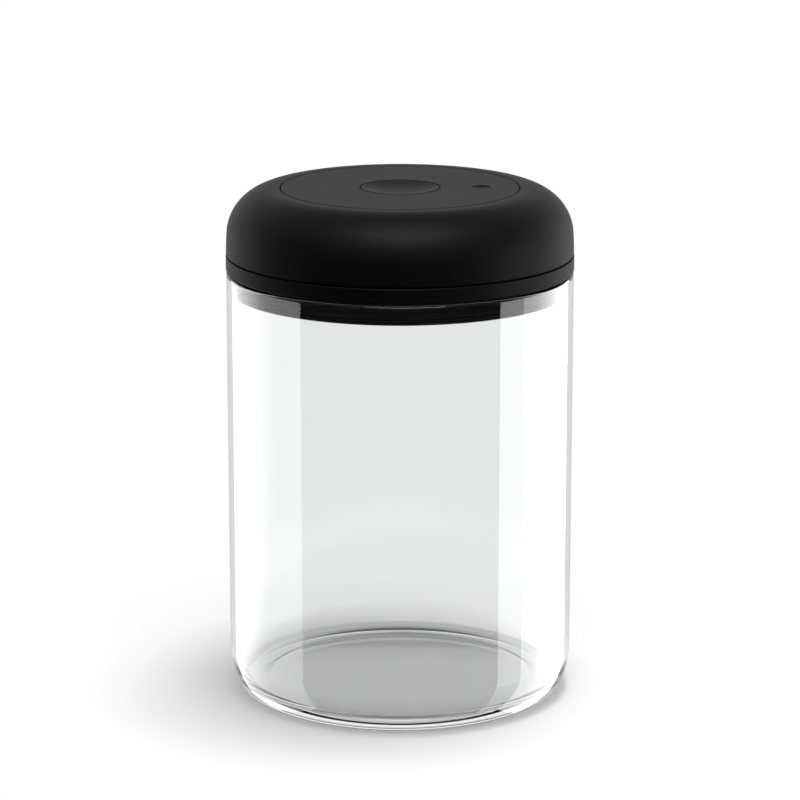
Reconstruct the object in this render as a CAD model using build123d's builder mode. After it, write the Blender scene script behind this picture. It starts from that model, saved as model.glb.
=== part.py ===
"""A vacuum seal canister: a glass jar and a twist-to-pump lid.

The lid is a pump.  Its domed cap turns on a fixed base ring.  Helical slots in a sleeve under the
cap raise and lower a carriage of two pistons, which draw air out of the jar through flap valves.
A dished button in the middle of the top opens the release valve, and a small pin beside it sinks
when the jar holds a vacuum.  Lengths are in millimetres, +Z is up and the origin is at the middle
of the jar's foot.
"""

from build123d import *
from math import cos, radians, sin
import os

# Clearances
cut_over = 1.0  # overrun of every cut
running_gap = 0.25  # between faces that turn or slide on one another
journal_gap = 0.3  # round the pieces that the cap turns on
seal_gap = 0.15  # between a relaxed seal and what it seals
pin_gap = 0.05  # round a pin, a screw or a spigot in its hole

# Glass jar
jar_height = 145.5
jar_outer_r = 58.4
jar_wall = 3.0
jar_base = 5.2
jar_corner_across = 6.8  # the outer corner is a quarter ellipse
jar_corner_up = 15.6
jar_inner_corner_across = 4.0
jar_inner_corner_up = 8.0
jar_rim_round = 1.1
jar_foot_width = 6.0
jar_foot_hollow = 0.8

# Lid base: the fixed ring, the plug that enters the jar and the deck across it
ring_overhang = 0.1  # past the jar's wall
ring_height = 4.7
ring_upper_round = 0.3
ring_lower_round = 0.8
ring_skirt = 1.2  # skirt round the gasket's flange
plug_wall = 2.4
plug_depth = 7.7  # below the ring's seat
plug_fit = 0.4  # foot flange to the glass
plug_groove_depth = 1.6
plug_groove_foot = 1.3  # flange under the gasket's groove
deck_thickness = 2.0
deck_rise = 3.5  # deck's underside above the plug's foot
deck_collar_wall = 1.3
deck_collar_depth = 2.6

# Snap fingers that hold the cap down
finger_count = 6
finger_angle = 20.0
finger_wall = 1.3
finger_hook_reach = 1.7  # over the cap's ledge
finger_hook_height = 1.6

# Rim gasket
gasket_flange = 0.8
gasket_flange_width = 1.9
gasket_web = 1.0
gasket_lip_height = 1.1
gasket_lip_count = 2

# Cap
cap_reveal = 0.1  # step in from the base ring
cap_height = 21.95
cap_gap = 0.5  # shadow line over the base ring
cap_wall = 2.4
cap_shoulder_r = 15.8
cap_crown_width = 2.35  # from the opening to the shoulder
cap_side_lean = 4.0  # degrees that the side leans in where the shoulder starts
cap_edge_round = 0.3
cap_crown_round = 0.25
cap_ledge_width = 3.5
cap_ledge_height = 1.8
cap_rib_count = 24
cap_rib_thickness = 1.2
cap_rib_depth = 1.3
cap_rib_height = 8.0
cap_post_r = 2.8

# Glide ring, a slippery washer that the cap turns on
glide_height = 1.5
glide_width = 3.0

# Top disc
disc_seam = 0.35  # ring gap between disc and cap
disc_thickness = 2.0
disc_edge_round = 0.25
disc_spigot_wall = 2.0
disc_spigot_depth = 2.2

# Guide drum, a fixed wall with upright slots
drum_wall = 2.8
drum_flange_width = 5.0
drum_flange_height = 2.0
drum_screw_count = 4
drum_screw_angle = 45.0  # direction of the first screw

# Cam sleeve and the followers in its slots
twist_angle = 90.0  # degrees that the cap turns
stroke = 6.0
sleeve_wall = 2.8
sleeve_inset = 1.1  # bore inside the disc's edge
sleeve_gap = 0.4  # to the drum
sleeve_foot = 1.6  # under the slots' low ends
ear_rise = 1.2
ear_thickness = 2.4
ear_width = 7.6
ear_bolt_reach = 5.4  # of the screws from the sleeve
follower_count = 3
follower_angle = 90.0  # direction of the first follower
roller_r = 2.4
roller_gap = 0.15
pin_r = 1.5
pin_inset = 6.0  # length inside the carriage

# Carriage
carriage_thickness = 3.4
carriage_gap = 0.6  # to the drum's bore
carriage_button_gap = 2.1  # round the button's hole
carriage_lift = 0.5  # above the cylinders at rest
carriage_headroom = 3.55  # under the disc at the top of the stroke
carriage_window_gap = 0.8  # round the indicator's tube

# Pump block: a plate with two cylinders, the button's spring well and the indicator's tube
block_gap = 1.0  # to the drum's bore
plate_thickness = 2.0
cylinder_bore_r = 7.0
cylinder_wall = 1.5
cylinder_edge = 2.1  # from the block's edge
well_bore_r = 7.4
well_wall = 1.5
well_headroom = 4.05  # under the pressed button
indicator_inset = 8.6  # of its axis from the drum's bore
tube_bore_r = 4.4
tube_wall = 1.0
tube_headroom = 5.05  # under the indicator's head
port_r = 0.8
port_ring_r = 3.4
port_count = 6
vent_r = 0.5
vent_ring_r = 3.0
vent_count = 4
block_screw_count = 4
block_screw_angle = 45.0
block_screw_edge = 3.6  # from the block's edge
deck_gasket_thickness = 0.8

# Pistons and their cup seals
piston_r = 6.6
piston_height = 4.6
piston_lift = 2.0  # above the plate at rest
piston_rod_r = 2.5
piston_groove_depth = 1.6
piston_foot = 0.7  # flange under the seal
cup_height = 2.2
cup_lip = 0.5

# Inlet valves
flap_r = 5.0
flap_thickness = 0.7
flap_stem_r = 1.2
flap_bulb_r = 1.8
flap_bulb_height = 1.6
flap_opening_r = 6.0  # hole in the deck under each valve

# Release button and valve
button_r = 13.2
button_gap = 0.3
button_thickness = 3.0
button_dish_depth = 1.4
button_skirt_wall = 1.6
button_skirt_depth = 6.0
button_edge_round = 0.4
button_travel = 2.0
socket_r = 4.0
socket_depth = 3.0
stem_r = 2.0
poppet_r = 6.2
poppet_thickness = 1.2
poppet_seal_r = 5.8
poppet_seal_thickness = 0.8
valve_port_r = 3.6

# Springs
button_wire_r = 0.45
button_coil_r = 5.6
button_coil_turns = 6
indicator_wire_r = 0.25
indicator_coil_r = 3.0
indicator_coil_turns = 6

# Vacuum indicator
indicator_r = 3.0
indicator_gap = 0.15
indicator_sunk = 0.2  # below the disc at rest
indicator_dish_r = 2.8
indicator_dish_depth = 0.3
indicator_head_height = 4.3
indicator_rod_r = 1.4
indicator_collar_r = 3.9
indicator_collar_height = 1.2
indicator_collar_drop = 9.0  # under the head
diaphragm_r = 4.2
diaphragm_thickness = 0.8
diaphragm_bulge_r = 2.2
diaphragm_bulge_height = 4.0
indicator_port_r = 1.5

# Filter under the deck
filter_margin = 1.4  # past the pump block's edge
filter_cap_wall = 1.4
filter_cap_height = 6.4
filter_edge_round = 0.8
filter_slot_width = 1.6
filter_slot_length = 12.0
filter_slot_count = 18
filter_slot_edge = 14.0  # of the slots' middles from the cover's edge
filter_mesh_thickness = 0.6

# Screws
screw_r = 1.25
screw_head_r = 2.2
screw_head_height = 1.4
screw_length = 7.0
screw_slot_width = 0.6
screw_slot_depth = 0.6
screw_boss_r = 3.0

# Heights, from the foot up
seat_z = jar_height + seal_gap + gasket_flange
ring_top_z = seat_z + ring_height
plug_foot_z = seat_z - plug_depth
groove_z = plug_foot_z + plug_groove_foot
deck_z = plug_foot_z + deck_rise
deck_top_z = deck_z + deck_thickness
plate_z = deck_top_z + deck_gasket_thickness
plate_top_z = plate_z + plate_thickness
piston_z = plate_top_z + piston_lift
cup_z = piston_z + piston_foot
cap_z = ring_top_z + cap_gap
cap_top_z = cap_z + cap_height
roof_z = cap_top_z - cap_wall
disc_z = cap_top_z - disc_thickness
carriage_top_z = disc_z - carriage_headroom - stroke
carriage_z = carriage_top_z - carriage_thickness
follower_z = carriage_z + carriage_thickness / 2
cylinder_top_z = carriage_z - carriage_lift
ledge_z = ring_top_z + glide_height + running_gap
ledge_top_z = ledge_z + cap_ledge_height
hook_z = ledge_top_z + running_gap
sleeve_z = follower_z - roller_r - roller_gap - sleeve_foot
ear_z = sleeve_z + ear_rise
post_z = ear_z + ear_thickness
filter_z = deck_z - filter_cap_height
poppet_z = deck_z - poppet_seal_thickness - poppet_thickness
button_z = cap_top_z - button_thickness
well_top_z = button_z - button_travel - well_headroom
diaphragm_top_z = plate_top_z + diaphragm_thickness
bulge_z = diaphragm_top_z + diaphragm_bulge_height
indicator_top_z = cap_top_z - indicator_sunk
indicator_head_z = indicator_top_z - indicator_head_height
tube_top_z = indicator_head_z - tube_headroom
collar_z = indicator_head_z - indicator_collar_drop

# Radii, from the jar's wall inwards and from the cap's wall inwards
jar_inner_r = jar_outer_r - jar_wall
plug_flange_r = jar_inner_r - plug_fit
plug_groove_r = plug_flange_r - plug_groove_depth
plug_inner_r = plug_groove_r - plug_wall
ring_outer_r = jar_outer_r + ring_overhang
cap_outer_r = ring_outer_r - cap_reveal
ledge_r = cap_outer_r - cap_wall - cap_ledge_width
finger_r = ledge_r - journal_gap
opening_r = cap_outer_r - cap_shoulder_r - cap_crown_width
disc_r = opening_r - disc_seam
sleeve_r = disc_r - sleeve_inset
sleeve_mid_r = sleeve_r + sleeve_wall / 2
sleeve_outer_r = sleeve_r + sleeve_wall
drum_outer_r = sleeve_r - sleeve_gap
drum_bore_r = drum_outer_r - drum_wall
drum_screw_ring_r = drum_outer_r + drum_flange_width / 2
block_r = drum_bore_r - block_gap
block_screw_ring_r = block_r - block_screw_edge
cylinder_offset = block_r - cylinder_edge - cylinder_wall - cylinder_bore_r
indicator_offset = drum_bore_r - indicator_inset
filter_cap_r = block_r + filter_margin
filter_slot_ring_r = filter_cap_r - filter_slot_edge
collar_r = filter_cap_r + pin_gap
carriage_r = drum_bore_r - carriage_gap
carriage_bore_r = button_r + button_gap + carriage_button_gap
roller_slot_r = roller_r + roller_gap
ear_bolt_r = sleeve_outer_r + ear_bolt_reach
ear_angle = follower_angle + (360 / follower_count - twist_angle) / 2
pump_axes = ((0, cylinder_offset), (0, -cylinder_offset))
follower_angles = [follower_angle + 360 * number / follower_count for number in range(follower_count)]

os.makedirs("parts", exist_ok=True)


def save(made, name):
    """Label one sub-part and write its STEP file."""
    made.part.label = name
    export_step(made.part, f"parts/{name}.step")


def band(inner, outer, low, high):
    """Draw a rectangle between two radii and two heights in a sketch of a section."""
    with Locations(((inner + outer) / 2, (low + high) / 2)):
        Rectangle(outer - inner, high - low)


def facing_plane(angle, radius, height):
    """The plane that faces outwards at a direction in degrees, with its own Y axis upright."""
    outwards = Vector(cos(radians(angle)), sin(radians(angle)), 0)
    upwards = Vector(0, 0, 1)
    return Plane(outwards * radius + upwards * height, x_dir=upwards.cross(outwards), z_dir=outwards)


def section_plane(angle):
    """The upright plane through the axis whose own X axis points in a direction in degrees."""
    outwards = Vector(cos(radians(angle)), sin(radians(angle)), 0)
    return Plane((0, 0, 0), x_dir=outwards, z_dir=outwards.cross(Vector(0, 0, 1)))


def make_screw(length):
    """A screw with a slotted pan head, head up, its seat at the origin."""
    with BuildPart() as made:
        with BuildSketch(Plane.XZ):
            band(0, screw_r, -length, 0)
            band(0, screw_head_r, 0, screw_head_height)
        revolve(axis=Axis.Z)
        fillet(made.edges().group_by(Axis.Z)[-1], radius=screw_head_height / 2)
        chamfer(made.edges().group_by(Axis.Z)[0], length=screw_r / 2)
        with BuildSketch(Plane.XY.offset(screw_head_height)):
            Rectangle(2 * screw_head_r, screw_slot_width)
        extrude(amount=-screw_slot_depth, mode=Mode.SUBTRACT)
    return made.part


def make_spring(wire_r, coil_r, turns, low, high):
    """A compression spring of round wire that fills the height between two seats."""
    rise = high - low - 2 * wire_r
    with BuildPart() as made:
        with BuildLine() as coil:
            Helix(pitch=rise / turns, height=rise, radius=coil_r, center=(0, 0, low + wire_r))
        with BuildSketch(Plane(coil.line @ 0, z_dir=coil.line % 0)):
            Circle(wire_r)
        sweep(path=coil.line, is_frenet=True)
    return made.part


# Glass jar: one thick-walled vessel with a rounded foot and a fire-polished rim
with BuildPart() as glass_jar:
    foot_r = jar_outer_r - jar_corner_across
    hollow_r = foot_r - jar_foot_width
    floor_r = jar_inner_r - jar_inner_corner_across
    with BuildSketch(Plane.XZ):
        with BuildLine():
            EllipticalCenterArc(
                (foot_r, jar_corner_up), jar_corner_across, jar_corner_up, start_angle=270, arc_size=90
            )
            EllipticalCenterArc(
                (floor_r, jar_base + jar_inner_corner_up),
                jar_inner_corner_across,
                jar_inner_corner_up,
                start_angle=270,
                arc_size=90,
            )
            Polyline(
                (jar_outer_r, jar_corner_up),
                (jar_outer_r, jar_height),
                (jar_inner_r, jar_height),
                (jar_inner_r, jar_base + jar_inner_corner_up),
            )
            Polyline(
                (floor_r, jar_base),
                (0, jar_base),
                (0, jar_foot_hollow),
                (hollow_r - 2 * jar_foot_hollow, jar_foot_hollow),
                (hollow_r, 0),
                (foot_r, 0),
            )
        make_face()
    revolve(axis=Axis.Z)
    fillet(glass_jar.edges().group_by(Axis.Z)[-1], radius=jar_rim_round)
save(glass_jar, "glass_jar")

# Lid base: the ring over the rim, its plug, the deck that carries the pump and the snap fingers
with BuildPart() as lid_base:
    with BuildSketch(Plane.XZ):
        band(plug_inner_r, ring_outer_r, seat_z, ring_top_z)
        band(ring_outer_r - ring_skirt, ring_outer_r, jar_height + running_gap, seat_z)
        band(plug_inner_r, plug_groove_r, plug_foot_z, seat_z)
        band(plug_inner_r, plug_flange_r, plug_foot_z, groove_z)
        band(0, plug_inner_r, deck_z, deck_top_z)
        band(collar_r, collar_r + deck_collar_wall, deck_z - deck_collar_depth, deck_z)
    revolve(axis=Axis.Z)
    rims = lid_base.edges().filter_by(GeomType.CIRCLE).group_by(SortBy.RADIUS)[-1].sort_by(Axis.Z)
    fillet(rims[-1], radius=ring_upper_round)
    rims = lid_base.edges().filter_by(GeomType.CIRCLE).group_by(SortBy.RADIUS)[-1].sort_by(Axis.Z)
    fillet(rims[0], radius=ring_lower_round)
    for number in range(finger_count):
        with BuildSketch(section_plane(360 * number / finger_count)):
            band(finger_r - finger_wall, finger_r, ring_top_z, hook_z + finger_hook_height)
            with BuildLine():
                Polyline(
                    (finger_r, hook_z),
                    (finger_r + finger_hook_reach, hook_z),
                    (finger_r, hook_z + finger_hook_height),
                    close=True,
                )
            make_face()
        revolve(axis=Axis.Z, revolution_arc=finger_angle)
    # Bosses under the deck take the drum's and the block's screws.
    with BuildSketch(Plane.XY.offset(deck_z)):
        with PolarLocations(drum_screw_ring_r, drum_screw_count, start_angle=drum_screw_angle):
            Circle(screw_boss_r)
        with PolarLocations(block_screw_ring_r, block_screw_count, start_angle=block_screw_angle):
            Circle(screw_boss_r)
    extrude(amount=-deck_rise)
    with BuildSketch(Plane.XY.offset(deck_top_z)):
        with PolarLocations(drum_screw_ring_r, drum_screw_count, start_angle=drum_screw_angle):
            Circle(screw_r + pin_gap)
        with PolarLocations(block_screw_ring_r, block_screw_count, start_angle=block_screw_angle):
            Circle(screw_r + pin_gap)
        # Openings under the valves and the indicator
        with Locations(*pump_axes):
            Circle(flap_opening_r)
        Circle(valve_port_r)
        with Locations((indicator_offset, 0)):
            Circle(indicator_port_r)
    extrude(amount=-(deck_thickness + deck_rise), mode=Mode.SUBTRACT)
save(lid_base, "lid_base")

# Rim gasket: a silicone ring with a flange over the glass and two lips in the jar's mouth
with BuildPart() as rim_gasket:
    web_r = plug_groove_r + gasket_web
    lip_r = jar_inner_r - seal_gap
    lip_pitch = (jar_height - groove_z) / gasket_lip_count
    with BuildSketch(Plane.XZ):
        band(plug_groove_r, web_r, groove_z, seat_z)
        band(plug_groove_r, lip_r + gasket_flange_width, seat_z - gasket_flange, seat_z)
        for number in range(gasket_lip_count):
            lip_z = groove_z + (number + 1 / 2) * lip_pitch
            with BuildLine():
                Polyline(
                    (web_r, lip_z - gasket_lip_height),
                    (lip_r, lip_z),
                    (lip_r, lip_z + gasket_lip_height / 2),
                    (web_r, lip_z + gasket_lip_height),
                    close=True,
                )
            make_face()
    revolve(axis=Axis.Z)
save(rim_gasket, "rim_gasket")

# Deck gasket: a thin silicone sheet between the deck and the pump block
with BuildPart() as deck_gasket:
    with BuildSketch(Plane.XY.offset(deck_top_z)):
        Circle(block_r)
        with Locations(*pump_axes):
            Circle(flap_opening_r, mode=Mode.SUBTRACT)
        Circle(valve_port_r, mode=Mode.SUBTRACT)
        with Locations((indicator_offset, 0)):
            Circle(indicator_port_r, mode=Mode.SUBTRACT)
        with PolarLocations(block_screw_ring_r, block_screw_count, start_angle=block_screw_angle):
            Circle(screw_r + pin_gap, mode=Mode.SUBTRACT)
    extrude(amount=deck_gasket_thickness)
save(deck_gasket, "deck_gasket")

# Pump block: one moulding with both cylinders, the spring well and the indicator's tube
with BuildPart() as pump_block:
    with BuildSketch(Plane.XY.offset(plate_z)):
        Circle(block_r)
    extrude(amount=plate_thickness)
    with BuildSketch(Plane.XY.offset(plate_top_z)):
        with Locations(*pump_axes):
            Circle(cylinder_bore_r + cylinder_wall)
        Rectangle(cylinder_wall, 2 * cylinder_offset)
    extrude(amount=cylinder_top_z - plate_top_z)
    with BuildSketch(Plane.XY.offset(plate_top_z)):
        Circle(well_bore_r + well_wall)
    extrude(amount=well_top_z - plate_top_z)
    with BuildSketch(Plane.XY.offset(plate_top_z)):
        with Locations((indicator_offset, 0)):
            Circle(tube_bore_r + tube_wall)
    extrude(amount=tube_top_z - plate_top_z)
    with BuildSketch(Plane.XY.offset(plate_top_z)):
        with Locations(*pump_axes):
            Circle(cylinder_bore_r)
        Circle(well_bore_r)
        with Locations((indicator_offset, 0)):
            Circle(tube_bore_r)
    extrude(amount=well_top_z - plate_top_z + cut_over, mode=Mode.SUBTRACT)
    with BuildSketch(Plane.XY.offset(plate_top_z)):
        for axis in pump_axes:
            with Locations(axis):
                Circle(flap_stem_r)
                with PolarLocations(port_ring_r, port_count):
                    Circle(port_r)
        Circle(stem_r + running_gap)
        with PolarLocations(vent_ring_r, vent_count):
            Circle(vent_r)
        with Locations((indicator_offset, 0)):
            Circle(indicator_port_r)
        with PolarLocations(block_screw_ring_r, block_screw_count, start_angle=block_screw_angle):
            Circle(screw_r + pin_gap)
    extrude(amount=-plate_thickness, mode=Mode.SUBTRACT)
save(pump_block, "pump_block")

# Inlet valves: silicone mushrooms over the ports in each cylinder's floor
with BuildPart() as inlet_valves:
    for axis in pump_axes:
        with BuildSketch(Plane.XZ.offset(-axis[1])):
            band(0, flap_stem_r, plate_z, plate_top_z)
            band(0, flap_bulb_r, plate_z - flap_bulb_height, plate_z)
            band(0, flap_r, plate_top_z, plate_top_z + flap_thickness)
        revolve(axis=Axis((*axis, 0), (0, 0, 1)))
save(inlet_valves, "inlet_valves")

# Guide drum: a fixed wall whose upright slots keep the carriage from turning
with BuildPart() as guide_drum:
    with BuildSketch(Plane.XZ):
        band(drum_bore_r, drum_outer_r, deck_top_z, disc_z)
        band(drum_outer_r, drum_outer_r + drum_flange_width, deck_top_z, deck_top_z + drum_flange_height)
    revolve(axis=Axis.Z)
    with BuildSketch(Plane.XY.offset(deck_top_z)):
        with PolarLocations(drum_screw_ring_r, drum_screw_count, start_angle=drum_screw_angle):
            Circle(screw_r + pin_gap)
    extrude(amount=drum_flange_height, mode=Mode.SUBTRACT)
    slot_rise = disc_z + cut_over - follower_z
    for angle in follower_angles:
        with BuildSketch(facing_plane(angle, 0, follower_z)):
            Circle(pin_r + running_gap)
            with Locations((0, slot_rise / 2)):
                Rectangle(2 * (pin_r + running_gap), slot_rise)
        extrude(amount=drum_outer_r + cut_over, mode=Mode.SUBTRACT)
save(guide_drum, "guide_drum")

# Top disc: the fixed plate in the cap's crown, with holes for the button and the indicator
with BuildPart() as top_disc:
    spigot_r = drum_bore_r - pin_gap
    with BuildSketch(Plane.XZ):
        band(button_r + button_gap, disc_r, disc_z, cap_top_z)
        band(spigot_r - disc_spigot_wall, spigot_r, disc_z - disc_spigot_depth, disc_z)
    revolve(axis=Axis.Z)
    fillet(top_disc.edges().group_by(Axis.Z)[-1], radius=disc_edge_round)
    with BuildSketch(Plane.XY.offset(disc_z)):
        with Locations((indicator_offset, 0)):
            Circle(indicator_r + indicator_gap)
    extrude(amount=disc_thickness, mode=Mode.SUBTRACT)
save(top_disc, "top_disc")

# Glide ring
with BuildPart() as glide_ring:
    with BuildSketch(Plane.XZ):
        band(ledge_r, ledge_r + glide_width, ring_top_z, ring_top_z + glide_height)
    revolve(axis=Axis.Z)
save(glide_ring, "glide_ring")

# Cap: the domed shell that the hand turns, with the ledge that the snap fingers hold
with BuildPart() as cap_shell:
    side_rise = cap_height - cap_shoulder_r * (1 - sin(radians(cap_side_lean)))
    side_r = side_rise / sin(radians(cap_side_lean))
    with BuildSketch(Plane.XZ):
        ends = []
        with BuildLine():
            for inset in (0, cap_wall):
                side = JernArc((cap_outer_r - inset, cap_z), (0, 1), side_r - inset, cap_side_lean)
                shoulder = JernArc(side @ 1, side % 1, cap_shoulder_r - inset, 90 - cap_side_lean)
                ends.append(shoulder @ 1)
            Polyline(ends[0], (opening_r, cap_top_z), (opening_r, roof_z), ends[1])
            Line((cap_outer_r, cap_z), (cap_outer_r - cap_wall, cap_z))
        make_face()
    revolve(axis=Axis.Z)
    circles = cap_shell.edges().filter_by(GeomType.CIRCLE)
    fillet(circles.group_by(Axis.Z)[-1].sort_by(SortBy.RADIUS)[0], radius=cap_crown_round)
    circles = cap_shell.edges().filter_by(GeomType.CIRCLE)
    fillet(circles.group_by(Axis.Z)[0].sort_by(SortBy.RADIUS)[-1], radius=cap_edge_round)
    with BuildSketch(Plane.XZ):
        band(ledge_r, cap_outer_r - cap_wall / 2, ledge_z, ledge_top_z)
    revolve(axis=Axis.Z)
    # Upright ribs stiffen the wall above the ledge.
    with BuildSketch(Plane.XY.offset(ledge_top_z)):
        with PolarLocations(cap_outer_r - cap_wall, cap_rib_count):
            Rectangle(2 * cap_rib_depth, cap_rib_thickness)
    extrude(amount=cap_rib_height)
    # Posts hang from the roof and take the cam sleeve's screws.
    with BuildSketch(Plane.XY.offset(post_z)):
        with PolarLocations(ear_bolt_r, follower_count, start_angle=ear_angle):
            Circle(cap_post_r)
    extrude(amount=roof_z - post_z)
    with BuildSketch(Plane.XY.offset(post_z)):
        with PolarLocations(ear_bolt_r, follower_count, start_angle=ear_angle):
            Circle(screw_r + pin_gap)
    extrude(amount=screw_length, mode=Mode.SUBTRACT)
save(cap_shell, "cap_shell")

# One path in the turning sleeve: a helical slot with round ends, open to the edge at its low end
with BuildPart() as slot_cutter:
    cut_r = sleeve_r - cut_over
    cut_depth = sleeve_wall + 2 * cut_over
    with BuildLine() as slot_path:
        Helix(
            pitch=stroke * 360 / twist_angle,
            height=stroke,
            radius=sleeve_mid_r,
            center=(0, 0, follower_z),
            lefthand=True,
        )
    with BuildSketch(Plane(slot_path.line @ 0, x_dir=(1, 0, 0), z_dir=slot_path.line % 0)):
        Rectangle(cut_depth, 2 * roller_slot_r)
    sweep(path=slot_path.line, is_frenet=True)
    for turned, rise in ((0, 0), (-twist_angle, stroke)):
        with BuildSketch(facing_plane(turned, cut_r, follower_z + rise)):
            Circle(roller_slot_r)
        extrude(amount=cut_depth)
    entry_height = follower_z - sleeve_z + cut_over
    with BuildSketch(facing_plane(0, cut_r, follower_z)):
        with Locations((0, -entry_height / 2)):
            Rectangle(2 * roller_slot_r, entry_height)
    extrude(amount=cut_depth)

# Cam sleeve: turns with the cap and lifts the carriage
with BuildPart() as cam_sleeve:
    with BuildSketch(Plane.XZ):
        band(sleeve_r, sleeve_outer_r, sleeve_z, roof_z)
    revolve(axis=Axis.Z)
    with BuildSketch(Plane.XY.offset(ear_z)):
        with PolarLocations((ear_bolt_r + sleeve_mid_r) / 2, follower_count, start_angle=ear_angle):
            SlotCenterToCenter(ear_bolt_r - sleeve_mid_r, ear_width)
        Circle(sleeve_mid_r, mode=Mode.SUBTRACT)
        with PolarLocations(ear_bolt_r, follower_count, start_angle=ear_angle):
            Circle(screw_r + pin_gap, mode=Mode.SUBTRACT)
    extrude(amount=ear_thickness)
    with PolarLocations(0, follower_count, start_angle=follower_angle):
        add(slot_cutter.part, mode=Mode.SUBTRACT)
save(cam_sleeve, "cam_sleeve")

# Carriage: the plate that carries both pistons
with BuildPart() as carriage:
    with BuildSketch(Plane.XY.offset(carriage_z)):
        Circle(carriage_r)
        Circle(carriage_bore_r, mode=Mode.SUBTRACT)
        with Locations((indicator_offset, 0)):
            Circle(tube_bore_r + tube_wall + carriage_window_gap, mode=Mode.SUBTRACT)
        with Locations(*pump_axes):
            Circle(screw_r + pin_gap, mode=Mode.SUBTRACT)
    extrude(amount=carriage_thickness)
    for angle in follower_angles:
        with BuildSketch(facing_plane(angle, carriage_r - pin_inset, follower_z)):
            Circle(pin_r + pin_gap)
        extrude(amount=pin_inset + cut_over, mode=Mode.SUBTRACT)
save(carriage, "carriage")

# Follower pins in the carriage's edge
with BuildPart() as follower_pins:
    for angle in follower_angles:
        with BuildSketch(facing_plane(angle, carriage_r - pin_inset, follower_z)):
            Circle(pin_r)
        extrude(amount=pin_inset + sleeve_outer_r - carriage_r - pin_gap)
save(follower_pins, "follower_pins")

# Rollers on the pins' outer ends, in the sleeve's slots
with BuildPart() as cam_rollers:
    for angle in follower_angles:
        with BuildSketch(facing_plane(angle, sleeve_r, follower_z)):
            Circle(roller_r)
            Circle(pin_r + pin_gap, mode=Mode.SUBTRACT)
        extrude(amount=sleeve_wall)
save(cam_rollers, "cam_rollers")

# Pistons: head, seal groove and rod in one moulding, one for each cylinder
with BuildPart() as pistons:
    for axis in pump_axes:
        with BuildSketch(Plane.XZ.offset(-axis[1])):
            band(0, piston_r, piston_z, cup_z)
            band(0, piston_r - piston_groove_depth, cup_z, cup_z + cup_height)
            band(0, piston_r, cup_z + cup_height, piston_z + piston_height)
            band(0, piston_rod_r, piston_z + piston_height, carriage_z)
        revolve(axis=Axis((*axis, 0), (0, 0, 1)))
    with BuildSketch(Plane.XY.offset(carriage_z)):
        with Locations(*pump_axes):
            Circle(screw_r + pin_gap)
    extrude(amount=carriage_thickness - screw_length, mode=Mode.SUBTRACT)
save(pistons, "pistons")

# Piston seals: cup rings whose lip lets air out on the way down
with BuildPart() as piston_seals:
    cup_r = piston_r - piston_groove_depth
    wipe_r = cylinder_bore_r - seal_gap
    cup_top_z = cup_z + cup_height
    for axis in pump_axes:
        with BuildSketch(Plane.XZ.offset(-axis[1])):
            with BuildLine():
                Polyline(
                    (cup_r, cup_z),
                    (piston_r, cup_z),
                    (wipe_r, cup_top_z),
                    (wipe_r - cup_lip, cup_top_z),
                    (cup_r + cup_lip, cup_z + cup_height / 2),
                    (cup_r + cup_lip, cup_top_z),
                    (cup_r, cup_top_z),
                    close=True,
                )
            make_face()
        revolve(axis=Axis((*axis, 0), (0, 0, 1)))
save(piston_seals, "piston_seals")

# Release button: a dished cap with a skirt, and a socket for the stem
with BuildPart() as release_button:
    dish_r = button_r - button_edge_round
    bowl_r = (dish_r**2 + button_dish_depth**2) / (2 * button_dish_depth)
    with BuildSketch(Plane.XZ):
        with BuildLine():
            RadiusArc((dish_r, cap_top_z), (0, cap_top_z - button_dish_depth), bowl_r)
            RadiusArc(
                (dish_r, cap_top_z), (button_r, cap_top_z - button_edge_round), button_edge_round
            )
            Polyline(
                (button_r, cap_top_z - button_edge_round),
                (button_r, button_z - button_skirt_depth),
                (button_r - button_skirt_wall, button_z - button_skirt_depth),
                (button_r - button_skirt_wall, button_z),
                (socket_r, button_z),
                (socket_r, button_z - socket_depth),
                (stem_r, button_z - socket_depth),
                (stem_r, button_z),
                (0, button_z),
                (0, cap_top_z - button_dish_depth),
            )
        make_face()
    revolve(axis=Axis.Z)
save(release_button, "release_button")

# Release stem, from the button's socket to the valve under the deck
with BuildPart() as release_stem:
    with BuildSketch(Plane.XY.offset(poppet_z)):
        Circle(stem_r)
    extrude(amount=button_z - poppet_z)
save(release_stem, "release_stem")

# Valve poppet on the stem's foot
with BuildPart() as valve_poppet:
    with BuildSketch(Plane.XY.offset(poppet_z)):
        Circle(poppet_r)
        Circle(stem_r, mode=Mode.SUBTRACT)
    extrude(amount=poppet_thickness)
save(valve_poppet, "valve_poppet")

# Poppet seal, a silicone washer pressed against the deck round the port
with BuildPart() as poppet_seal:
    with BuildSketch(Plane.XY.offset(poppet_z + poppet_thickness)):
        Circle(poppet_seal_r)
        Circle(stem_r, mode=Mode.SUBTRACT)
    extrude(amount=poppet_seal_thickness - seal_gap)
save(poppet_seal, "poppet_seal")

# Button spring, in the well round the stem
with BuildPart() as button_spring:
    add(make_spring(button_wire_r, button_coil_r, button_coil_turns, plate_top_z, button_z))
save(button_spring, "button_spring")

# Vacuum indicator: a headed pin with a dished top and a collar for its spring
with BuildPart() as vacuum_indicator:
    with BuildSketch(Plane.XZ):
        with Locations((indicator_offset, 0)):
            band(0, indicator_r, indicator_head_z, indicator_top_z)
            band(0, indicator_rod_r, bulge_z, indicator_head_z)
            band(0, indicator_collar_r, collar_z, collar_z + indicator_collar_height)
    revolve(axis=Axis((indicator_offset, 0, 0), (0, 0, 1)))
    hollow_r = (indicator_dish_r**2 + indicator_dish_depth**2) / (2 * indicator_dish_depth)
    with Locations((indicator_offset, 0, indicator_top_z - indicator_dish_depth + hollow_r)):
        Sphere(hollow_r, mode=Mode.SUBTRACT)
save(vacuum_indicator, "vacuum_indicator")

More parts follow.
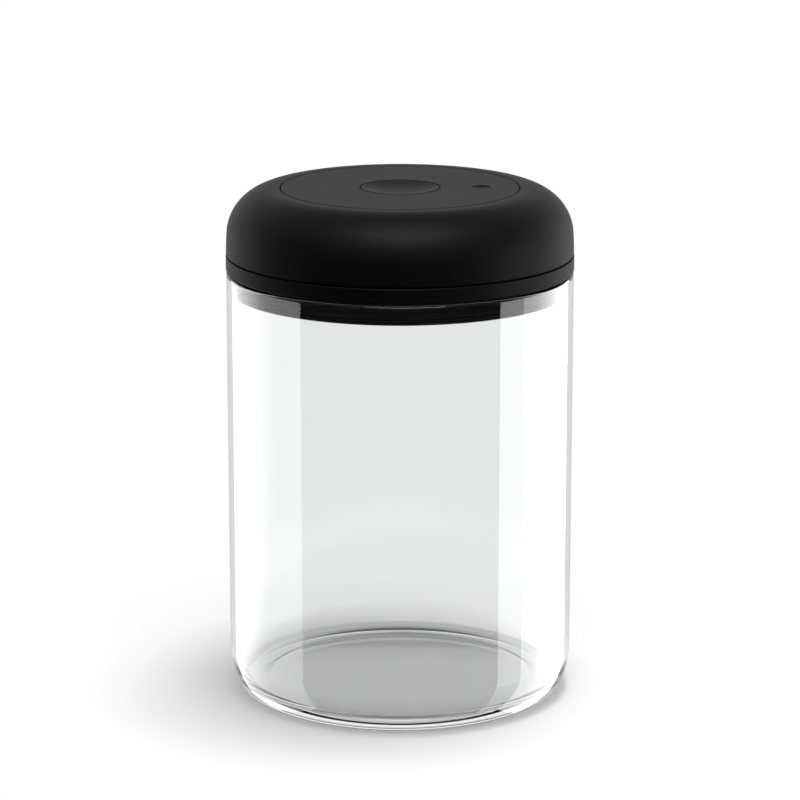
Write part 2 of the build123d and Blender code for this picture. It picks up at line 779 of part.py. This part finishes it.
# Indicator spring
indicator_coil = make_spring(
    indicator_wire_r, indicator_coil_r, indicator_coil_turns, diaphragm_top_z, collar_z
)
with BuildPart() as indicator_spring:
    with Locations((indicator_offset, 0)):
        add(indicator_coil)
save(indicator_spring, "indicator_spring")

# Indicator diaphragm: a silicone hat that the jar's vacuum pulls down
with BuildPart() as indicator_diaphragm:
    with BuildSketch(Plane.XZ):
        with Locations((indicator_offset, 0)):
            band(0, diaphragm_r, plate_top_z, diaphragm_top_z)
            band(0, diaphragm_bulge_r, diaphragm_top_z, bulge_z)
    revolve(axis=Axis((indicator_offset, 0, 0), (0, 0, 1)))
save(indicator_diaphragm, "indicator_diaphragm")

# Filter cap: a slotted cover that keeps crumbs out of the pump
with BuildPart() as filter_cap:
    with BuildSketch(Plane.XZ):
        band(filter_cap_r - filter_cap_wall, filter_cap_r, filter_z, deck_z)
        band(0, filter_cap_r - filter_cap_wall, filter_z, filter_z + filter_cap_wall)
    revolve(axis=Axis.Z)
    fillet(filter_cap.edges().group_by(Axis.Z)[0], radius=filter_edge_round)
    with BuildSketch(Plane.XY.offset(filter_z)):
        with PolarLocations(filter_slot_ring_r, filter_slot_count):
            SlotOverall(filter_slot_length, filter_slot_width)
    extrude(amount=filter_cap_wall, mode=Mode.SUBTRACT)
save(filter_cap, "filter_cap")

# Filter mesh, a disc of felt on the cover's floor
with BuildPart() as filter_mesh:
    with BuildSketch(Plane.XY.offset(filter_z + filter_cap_wall)):
        Circle(filter_cap_r - filter_cap_wall - pin_gap)
    extrude(amount=filter_mesh_thickness)
save(filter_mesh, "filter_mesh")

# Screws: through the sleeve's ears heads down, and through carriage, drum flange and block plate
long_screw = make_screw(screw_length)
block_screw = make_screw(plate_thickness + deck_gasket_thickness + deck_thickness + deck_rise / 2)
with BuildPart() as sleeve_screws:
    with PolarLocations(ear_bolt_r, follower_count, start_angle=ear_angle):
        with Locations(Location((0, 0, ear_z), (180, 0, 0))):
            add(long_screw)
save(sleeve_screws, "sleeve_screws")

with BuildPart() as carriage_screws:
    with Locations(*((*axis, carriage_top_z) for axis in pump_axes)):
        add(long_screw)
save(carriage_screws, "carriage_screws")

with BuildPart() as drum_screws:
    with PolarLocations(drum_screw_ring_r, drum_screw_count, start_angle=drum_screw_angle):
        with Locations((0, 0, deck_top_z + drum_flange_height)):
            add(long_screw)
save(drum_screws, "drum_screws")

with BuildPart() as block_screws:
    with PolarLocations(block_screw_ring_r, block_screw_count, start_angle=block_screw_angle):
        with Locations((0, 0, plate_top_z)):
            add(block_screw)
save(block_screws, "block_screws")
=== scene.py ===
"""A vacuum seal canister: a glass jar under a domed black lid that twists to pump out the air.

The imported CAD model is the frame.  The jar comes first, then the pieces of the lid, grouped by what
they are made of, and the studio comes last.  Lengths are in metres.
"""

from math import cos, pi, radians, sin, tan

import bmesh
import bpy
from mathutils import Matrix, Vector


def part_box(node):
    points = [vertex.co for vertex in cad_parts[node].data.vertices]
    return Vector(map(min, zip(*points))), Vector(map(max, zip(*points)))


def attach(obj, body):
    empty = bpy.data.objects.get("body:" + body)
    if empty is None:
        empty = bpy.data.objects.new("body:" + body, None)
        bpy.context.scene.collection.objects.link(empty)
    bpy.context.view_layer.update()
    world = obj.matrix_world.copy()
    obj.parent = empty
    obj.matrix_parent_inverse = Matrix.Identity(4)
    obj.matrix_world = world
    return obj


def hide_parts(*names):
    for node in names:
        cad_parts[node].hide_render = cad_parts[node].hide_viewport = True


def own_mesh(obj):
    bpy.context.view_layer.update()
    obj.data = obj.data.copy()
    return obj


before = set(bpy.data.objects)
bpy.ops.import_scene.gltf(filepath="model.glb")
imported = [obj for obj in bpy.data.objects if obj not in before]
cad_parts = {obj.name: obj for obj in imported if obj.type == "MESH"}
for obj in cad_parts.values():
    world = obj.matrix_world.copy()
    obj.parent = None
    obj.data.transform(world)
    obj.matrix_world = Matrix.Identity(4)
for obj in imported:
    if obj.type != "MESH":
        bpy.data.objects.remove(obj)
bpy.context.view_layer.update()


# Glass jar: one thick-walled vessel of clear soda glass, blown in a mould.  Its foot is hollowed a
# little, its corner is a long soft curve and its rim is melted round by a flame.
def corner(before, point, after, radius, steps=8):
    """Points of the arc that rounds one corner of an outline."""
    point = Vector(point)
    towards_before = (Vector(before) - point).normalized()
    towards_after = (Vector(after) - point).normalized()
    half = towards_before.angle(towards_after) / 2
    centre = point + (towards_before + towards_after).normalized() * radius / sin(half)
    first = point + towards_before * radius / tan(half) - centre
    last = point + towards_after * radius / tan(half) - centre
    return [centre + radius * first.slerp(last, step / steps) for step in range(steps + 1)]


def placed(name, made, material, sharp_from=radians(40)):
    """Put a mesh into the scene as a piece with smooth faces, which keeps its sharp edges."""
    bmesh.ops.recalc_face_normals(made, faces=made.faces)
    mesh = bpy.data.meshes.new(name)
    made.to_mesh(mesh)
    made.free()
    mesh.shade_smooth()
    mesh.set_sharp_from_angle(angle=sharp_from)
    mesh.materials.append(material)
    piece = bpy.data.objects.new(name, mesh)
    bpy.context.scene.collection.objects.link(piece)
    return piece


def turned(name, outline, material, around, centre_x=0.0):
    """A piece turned from a closed outline of (radius, height) points about an upright axis."""
    made = bmesh.new()
    rings = []
    for step in range(around):
        angle = 2 * pi * step / around
        ring = []
        for index, (across, up) in enumerate(outline):
            if across == 0 and rings:
                ring.append(rings[0][index])  # all the rings share the points on the axis
            else:
                place = (centre_x + across * cos(angle), across * sin(angle), up)
                ring.append(made.verts.new(place))
        rings.append(ring)
    for ring, following in zip(rings, rings[1:] + rings[:1]):
        for index in range(len(outline)):
            onward = (index + 1) % len(outline)
            face = [ring[index], following[index], following[onward], ring[onward]]
            face = list(dict.fromkeys(face))
            if len(face) > 2:
                made.faces.new(face)
    piece = placed(name, made, material)
    piece.modifiers.new("even_normals", "WEIGHTED_NORMAL").keep_sharp = True
    return piece


class Wire:
    """A node's output socket: arithmetic on it adds Math nodes, and node() adds any other node."""

    def __init__(self, tree, socket=None):
        self.tree = tree
        self.socket = socket

    def node(self, kind, settings=None, inputs=None, output=0):
        """Add a node: its settings are set first, then its sockets get their values or links."""
        made = self.tree.nodes.new(kind)
        for name, value in (settings or {}).items():
            setattr(made, name, value)
        for name, value in (inputs or {}).items():
            if isinstance(value, Wire):
                self.tree.links.new(value.socket, made.inputs[name])
            else:
                made.inputs[name].default_value = value
        return Wire(self.tree, made.outputs[output])

    def beside(self, output):
        """Another output of the same node."""
        return Wire(self.tree, self.socket.node.outputs[output])

    def math(self, operation, *values):
        """Add a Math node that works on these values."""
        return self.node("ShaderNodeMath", {"operation": operation}, dict(enumerate(values)))

    def __add__(self, other):
        return self.math("ADD", self, other)

    def __radd__(self, other):
        return self.math("ADD", other, self)

    def __rsub__(self, other):
        return self.math("SUBTRACT", other, self)

    def __mul__(self, other):
        return self.math("MULTIPLY", self, other)

    def __rmul__(self, other):
        return self.math("MULTIPLY", other, self)

    def noise(self, scale, detail=2.0):
        """A value of fractal noise in the object's own space, with a scale in cells per metre."""
        place = self.node("ShaderNodeTexCoord", output="Object")
        return self.node(
            "ShaderNodeTexNoise", inputs={"Vector": place, "Scale": scale, "Detail": detail}
        )

    def blend(self, first, second):
        """A colour between two: the first where this value is 0 and the second where it is 1."""
        factor_socket, first_socket, second_socket, colour_output = 0, 6, 7, 2
        return self.node(
            "ShaderNodeMix",
            {"data_type": "RGBA"},
            {factor_socket: self, first_socket: (*first, 1.0), second_socket: (*second, 1.0)},
            output=colour_output,
        )

    def mix_shaders(self, first, second):
        """A shader between two: the first where this value is 0 and the second where it is 1."""
        return self.node("ShaderNodeMixShader", inputs={0: self, 1: first, 2: second})

    def soft_step(self, begin, end, low, high):
        """A smooth change: low where this value is under begin, and high where it is over end."""
        return self.node(
            "ShaderNodeMapRange",
            {"interpolation_type": "SMOOTHSTEP"},
            {"Value": self, "From Min": begin, "From Max": end, "To Min": low, "To Max": high},
        )


def finish(name, make):
    """A procedural material: make() gets an empty tree and gives back the surface shader."""
    material = bpy.data.materials.new(name)
    material.use_nodes = True
    tree = material.node_tree
    tree.nodes.clear()
    surface = make(Wire(tree))
    ending = tree.nodes.new("ShaderNodeOutputMaterial")
    tree.links.new(surface.socket, ending.inputs["Surface"])
    return material


def clear_glass(start):
    polish = 0.004 + 0.012 * start.noise(scale=90.0)
    return start.node(
        "ShaderNodeBsdfPrincipled",
        inputs={
            "Base Color": (0.955, 0.958, 0.957, 1.0),
            "Roughness": polish,
            "IOR": 1.5,
            "Transmission Weight": 1.0,
        },
    )


low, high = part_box("glass_jar")
jar_r = high.x
jar_top = high.z
jar_wall = 0.003
jar_base = 0.0052
corner_across, corner_up = 0.0068, 0.0156
inner_across, inner_up = 0.004, 0.008
corner_steps = 24
foot_width = 0.006
foot_hollow = 0.0008
rim_round = 0.0011
bore_r = jar_r - jar_wall
foot_r = jar_r - corner_across
quarter = [step / corner_steps * pi / 2 for step in range(corner_steps + 1)]
outside = [
    (foot_r + corner_across * sin(turn), corner_up - corner_up * cos(turn)) for turn in quarter
]
inside = [
    (bore_r - inner_across + inner_across * sin(turn), jar_base + inner_up - inner_up * cos(turn))
    for turn in quarter
]
rim = corner(outside[-1], (jar_r, jar_top), (bore_r, jar_top), rim_round)
rim += corner((jar_r, jar_top), (bore_r, jar_top), inside[-1], rim_round)
foot = [
    (0, jar_base),
    (0, foot_hollow),
    (foot_r - foot_width - 2 * foot_hollow, foot_hollow),
    (foot_r - foot_width, 0),
]
jar = turned(
    "jar_of_clear_glass",
    outside + rim + inside[::-1] + foot,
    finish("clear_glass", clear_glass),
    around=320,
)
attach(jar, "jar")
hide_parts("glass_jar")


# Black plastic: the base ring, the filter cover, the cap, the disc, the button and the indicator
# are moulded in black ABS.  The moulds were spark-eroded, so the skin has a fine, even, matt grain.
def dress(material, *nodes):
    """Give CAD nodes their finish."""
    for node in nodes:
        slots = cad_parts[node].data.materials
        slots.clear()
        slots.append(material)


def black_plastic(start):
    grain = start.noise(scale=5200.0, detail=3.0)
    patch = start.noise(scale=60.0)
    bump = start.node(
        "ShaderNodeBump", inputs={"Strength": 0.25, "Distance": 0.00004, "Height": grain}
    )
    return start.node(
        "ShaderNodeBsdfPrincipled",
        inputs={
            "Base Color": patch.blend((0.0048, 0.0048, 0.005), (0.0062, 0.0062, 0.0064)),
            "Roughness": 0.44 + 0.05 * patch + 0.06 * grain,
            "Specular IOR Level": 0.18,
            "Normal": bump,
        },
    )


dress(
    finish("black_plastic", black_plastic),
    "lid_base",
    "filter_cap",
    "cap_shell",
    "top_disc",
    "release_button",
    "vacuum_indicator",
)


# Silicone: the rim gasket, the deck gasket, the flap valves, the piston seals, the poppet's seal
# and the indicator's diaphragm are all moulded in black silicone, smooth and a little dusty.
def black_silicone(start):
    dust = start.noise(scale=700.0, detail=4.0)
    return start.node(
        "ShaderNodeBsdfPrincipled",
        inputs={
            "Base Color": dust.blend((0.003, 0.003, 0.0032), (0.005, 0.005, 0.0053)),
            "Roughness": 0.46 + 0.12 * dust,
            "Specular IOR Level": 0.25,
        },
    )


silicone = finish("black_silicone", black_silicone)
dress(silicone, "rim_gasket", "deck_gasket", "inlet_valves", "piston_seals", "poppet_seal")


# Indicator's diaphragm: a hat of the same silicone, moulded in one with its flange.  It gives way
# as the vacuum pulls the indicator down.
low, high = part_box("indicator_diaphragm")
flange_r = (high.x - low.x) / 2
flange_up = 0.0008
hat_r = 0.0022
hat_round = 0.0006
flange_top = low.z + flange_up
hat_brim = [(flange_r, low.z), (flange_r, flange_top), (hat_r + hat_round, flange_top)]
hat_side = [(hat_r, flange_top + hat_round), (hat_r, high.z - hat_round)]
hat_top = corner((hat_r, low.z), (hat_r, high.z), (0, high.z), hat_round) + [(0, high.z)]
diaphragm = turned(
    "diaphragm_of_silicone",
    [(0, low.z)] + hat_brim + hat_side + hat_top,
    silicone,
    around=64,
    centre_x=(low.x + high.x) / 2,
)
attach(diaphragm, "lid")
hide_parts("indicator_diaphragm")
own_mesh(diaphragm)


# Works of the pump: the block, the drum, the carriage with its pistons, the sleeve and the release
# valve are moulded in grey acetal, with a faint flow mottle and satin faces.
def grey_plastic(start):
    flow = start.noise(scale=140.0, detail=3.0)
    return start.node(
        "ShaderNodeBsdfPrincipled",
        inputs={
            "Base Color": flow.blend((0.26, 0.27, 0.28), (0.31, 0.32, 0.33)),
            "Roughness": 0.38 + 0.1 * flow,
        },
    )


dress(
    finish("grey_plastic", grey_plastic),
    "pump_block",
    "guide_drum",
    "carriage",
    "pistons",
    "cam_sleeve",
    "release_stem",
    "valve_poppet",
)


# Glide ring and rollers: these carry the cap as it turns and follow the sleeve's slots.  They are
# turned from white acetal, slippery and slightly waxy.
def white_acetal(start):
    wax = start.noise(scale=220.0)
    return start.node(
        "ShaderNodeBsdfPrincipled",
        inputs={
            "Base Color": wax.blend((0.78, 0.78, 0.75), (0.86, 0.86, 0.84)),
            "Roughness": 0.3 + 0.12 * wax,
        },
    )


dress(finish("white_acetal", white_acetal), "glide_ring", "cam_rollers")


# Filter: a disc of needled polyester felt, off-white, its fibres lying every way.  It lies in the
# slotted cover and keeps crumbs out of the pump.
def filter_felt(start):
    fibre = start.noise(scale=2600.0, detail=6.0)
    bump = start.node(
        "ShaderNodeBump", inputs={"Strength": 0.8, "Distance": 0.0002, "Height": fibre}
    )
    return start.node(
        "ShaderNodeBsdfPrincipled",
        inputs={
            "Base Color": fibre.blend((0.5, 0.5, 0.48), (0.78, 0.78, 0.75)),
            "Roughness": 0.95,
            "Sheen Weight": 0.3,
            "Normal": bump,
        },
    )


dress(finish("filter_felt", filter_felt), "filter_mesh")


# Steel: the carriage's pins, the screws and the springs are of bright stainless steel, drawn or
# rolled, with fine streaks.
def spring_steel(start):
    streak = start.noise(scale=1800.0, detail=5.0)
    return start.node(
        "ShaderNodeBsdfPrincipled",
        inputs={
            "Base Color": (0.56, 0.56, 0.57, 1.0),
            "Metallic": 1.0,
            "Roughness": 0.22 + 0.2 * streak,
        },
    )


steel = finish("spring_steel", spring_steel)
dress(steel, "follower_pins", "drum_screws", "block_screws", "carriage_screws", "sleeve_screws")


# Springs: round stainless wire, wound on a lathe, with a closed turn at each end to stand on.  One
# lifts the button and one the indicator, and each gets shorter as its piece goes down.
def wind_spring(node, wire_r, turns, steps=36, sides=14):
    """A compression spring in the place of a CAD one."""
    low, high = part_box(node)
    centre_x = (low.x + high.x) / 2
    coil_r = (high.x - low.x) / 2 - wire_r
    end_pitch = 2.1 * wire_r
    middle_turns = turns - 2
    pitch = (high.z - low.z - 2 * wire_r - 2 * end_pitch) / middle_turns
    made = bmesh.new()
    rings = []
    for step in range(turns * steps + 1):
        turned_by = step / steps
        angle = 2 * pi * turned_by
        up = low.z + wire_r + end_pitch * min(turned_by, 1)
        up += pitch * min(max(turned_by - 1, 0), middle_turns)
        up += end_pitch * max(turned_by - 1 - middle_turns, 0)
        ring = []
        for side in range(sides):
            around = 2 * pi * side / sides
            reach = coil_r + wire_r * cos(around)
            place = (centre_x + reach * cos(angle), reach * sin(angle), up + wire_r * sin(around))
            ring.append(made.verts.new(place))
        rings.append(ring)
    for ring, following in zip(rings, rings[1:]):
        for side in range(sides):
            onward = (side + 1) % sides
            made.faces.new((ring[side], following[side], following[onward], ring[onward]))
    made.faces.new(reversed(rings[0]))
    made.faces.new(rings[-1])
    spring = placed(f"wound_{node}", made, steel)
    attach(spring, "lid")
    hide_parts(node)
    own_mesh(spring)


wind_spring("button_spring", wire_r=0.00045, turns=7)
wind_spring(
    "indicator_spring", wire_r=0.00025, turns=8
)


# Floor: a round white table top of matt laminate.  To the camera, and through glass, it is as white
# as the room that it fades into, and it still takes the canister's shadow.
def plainly_seen(start):
    """1 for a camera's ray, straight or through glass, and 0 for one that glass mirrored once."""
    camera_ray = start.node("ShaderNodeLightPath", output="Is Camera Ray")
    through_glass = camera_ray.beside("Is Transmission Ray")
    once, slack = 1.0, 0.5
    mirrored_once = start.math("COMPARE", camera_ray.beside("Glossy Depth"), once, slack)
    return start.math("MAXIMUM", camera_ray, through_glass * (1.0 - mirrored_once))


def white_floor(start):
    place = start.node("ShaderNodeTexCoord", output="Object")
    from_middle = start.node(
        "ShaderNodeVectorMath", {"operation": "LENGTH"}, {0: place}, output="Value"
    )
    edge = from_middle.soft_step(begin=0.085, end=0.16, low=0.3, high=1.0)
    colour = start.noise(scale=900.0).blend((0.8, 0.8, 0.8), (0.82, 0.82, 0.82))
    matt = start.node("ShaderNodeBsdfDiffuse", inputs={"Color": colour})
    haze = start.node("ShaderNodeEmission")
    gone = start.node("ShaderNodeBsdfTransparent")
    beyond = plainly_seen(start).mix_shaders(gone, haze)
    return edge.mix_shaders(matt, beyond)


floor_r = 0.24
floor_sides = 96
floor_gap = 0.0002
floor_mesh = bpy.data.meshes.new("floor")
disc = bmesh.new()
bmesh.ops.create_circle(disc, cap_ends=True, radius=floor_r, segments=floor_sides)
disc.to_mesh(floor_mesh)
disc.free()
floor = bpy.data.objects.new("floor", floor_mesh)
floor.location.z = -floor_gap
bpy.context.scene.collection.objects.link(floor)
floor_mesh.materials.append(finish("white_floor", white_floor))
floor.visible_glossy = False


# Room: white to the camera and straight through glass.  For light and gloss it is a lit white wall
# behind the table, dark in front of it and dim overhead.
world = bpy.data.worlds.new("studio")
bpy.context.scene.world = world
world.use_nodes = True
world.node_tree.nodes.clear()
room = Wire(world.node_tree)
direction = room.node("ShaderNodeTexCoord", output="Generated")
rearward = room.node("ShaderNodeSeparateXYZ", inputs={"Vector": direction}, output="Y")
upward = rearward.beside("Z")
behind = rearward.soft_step(begin=0.15, end=0.5, low=0.0, high=0.72)
below = upward.soft_step(begin=0.2, end=0.8, low=1.0, high=0.0)
ceiling = upward.soft_step(begin=0.3, end=0.8, low=0.025, high=0.2)
level = room.math("MAXIMUM", plainly_seen(room), ceiling + behind * below)
light = room.node("ShaderNodeBackground", inputs={"Color": (1, 1, 1, 1), "Strength": level})
ending = room.tree.nodes.new("ShaderNodeOutputWorld")
room.tree.links.new(light.socket, ending.inputs["Surface"])


# Lamps: a softbox on each side, the right one with a white card at its front edge, and a main one
# high in front.  The glass has brighter twins of the first three, which make its clear white
# panels, and a lamp above the table lights the table and the glass alone.
def softbox(name, bearing, reach, middle_z, across, tall, watts, target_z=None, lit=()):
    """A softbox at a bearing in degrees from the camera's side, positive to the right."""
    lamp = bpy.data.lights.new(name, "AREA")
    lamp.shape = "RECTANGLE"
    lamp.size = across
    lamp.size_y = tall
    lamp.energy = watts
    holder = bpy.data.objects.new(name, lamp)
    turn = radians(bearing)
    holder.location = (reach * sin(turn), -reach * cos(turn), middle_z)
    aim = Vector((0, 0, middle_z if target_z is None else target_z)) - holder.location
    holder.rotation_euler = aim.to_track_quat("-Z", "Y").to_euler()
    holder.visible_camera = False
    holder.visible_transmission = False
    bpy.context.scene.collection.objects.link(holder)
    if lit:
        lit_by_it = bpy.data.collections.new(f"lit_by_{name}")
        for piece in lit:
            lit_by_it.objects.link(piece)
        holder.light_linking.receiver_collection = lit_by_it


reach, middle_z, tall = 0.9, 0.025, 0.75
glass_reach, glass_middle_z, glass_tall = 0.95, -0.35, 1.55
for side, kind, bearing, across, watts, glass_across, glass_watts in (
    ("left", "softbox", -106, 1.46, 0.7, 1.54, 20.0),
    ("right", "softbox", 116, 0.98, 1.5, 1.03, 29.0),
    ("right", "card", 77.5, 0.33, 1.3, 0.35, 4.2),
):
    softbox(f"{side}_{kind}", bearing, reach, middle_z, across, tall, watts)
    softbox(
        f"{side}_glass_{kind}",
        bearing,
        glass_reach,
        glass_middle_z,
        glass_across,
        glass_tall,
        glass_watts,
        lit=[jar],
    )
softbox(
    "main_softbox",
    bearing=6,
    reach=0.45,
    middle_z=1.1,
    across=0.7,
    tall=0.7,
    watts=6.0,
    target_z=0.1,
)
softbox(
    "table_softbox",
    bearing=115,
    reach=0.11,
    middle_z=1.15,
    across=0.32,
    tall=0.32,
    watts=9.6,
    target_z=0.0,
    lit=[floor, jar],
)


# Camera: a long lens a little above the lid, looking down at the middle of the canister, with the
# picture's colours left plain.
aim_z = 0.1002
distance = 1.17117
pitch = 0.2454
lens_mm, film_mm = 155.3, 36.0
camera = bpy.data.cameras.new("camera")
camera.lens = lens_mm
camera.sensor_width = film_mm
viewer = bpy.data.objects.new("camera", camera)
viewer.location = (0, -distance * cos(pitch), aim_z + distance * sin(pitch))
viewer.rotation_euler = (pi / 2 - pitch, 0, 0)
bpy.context.scene.collection.objects.link(viewer)
bpy.context.scene.camera = viewer
bpy.context.scene.view_settings.view_transform = "Standard"
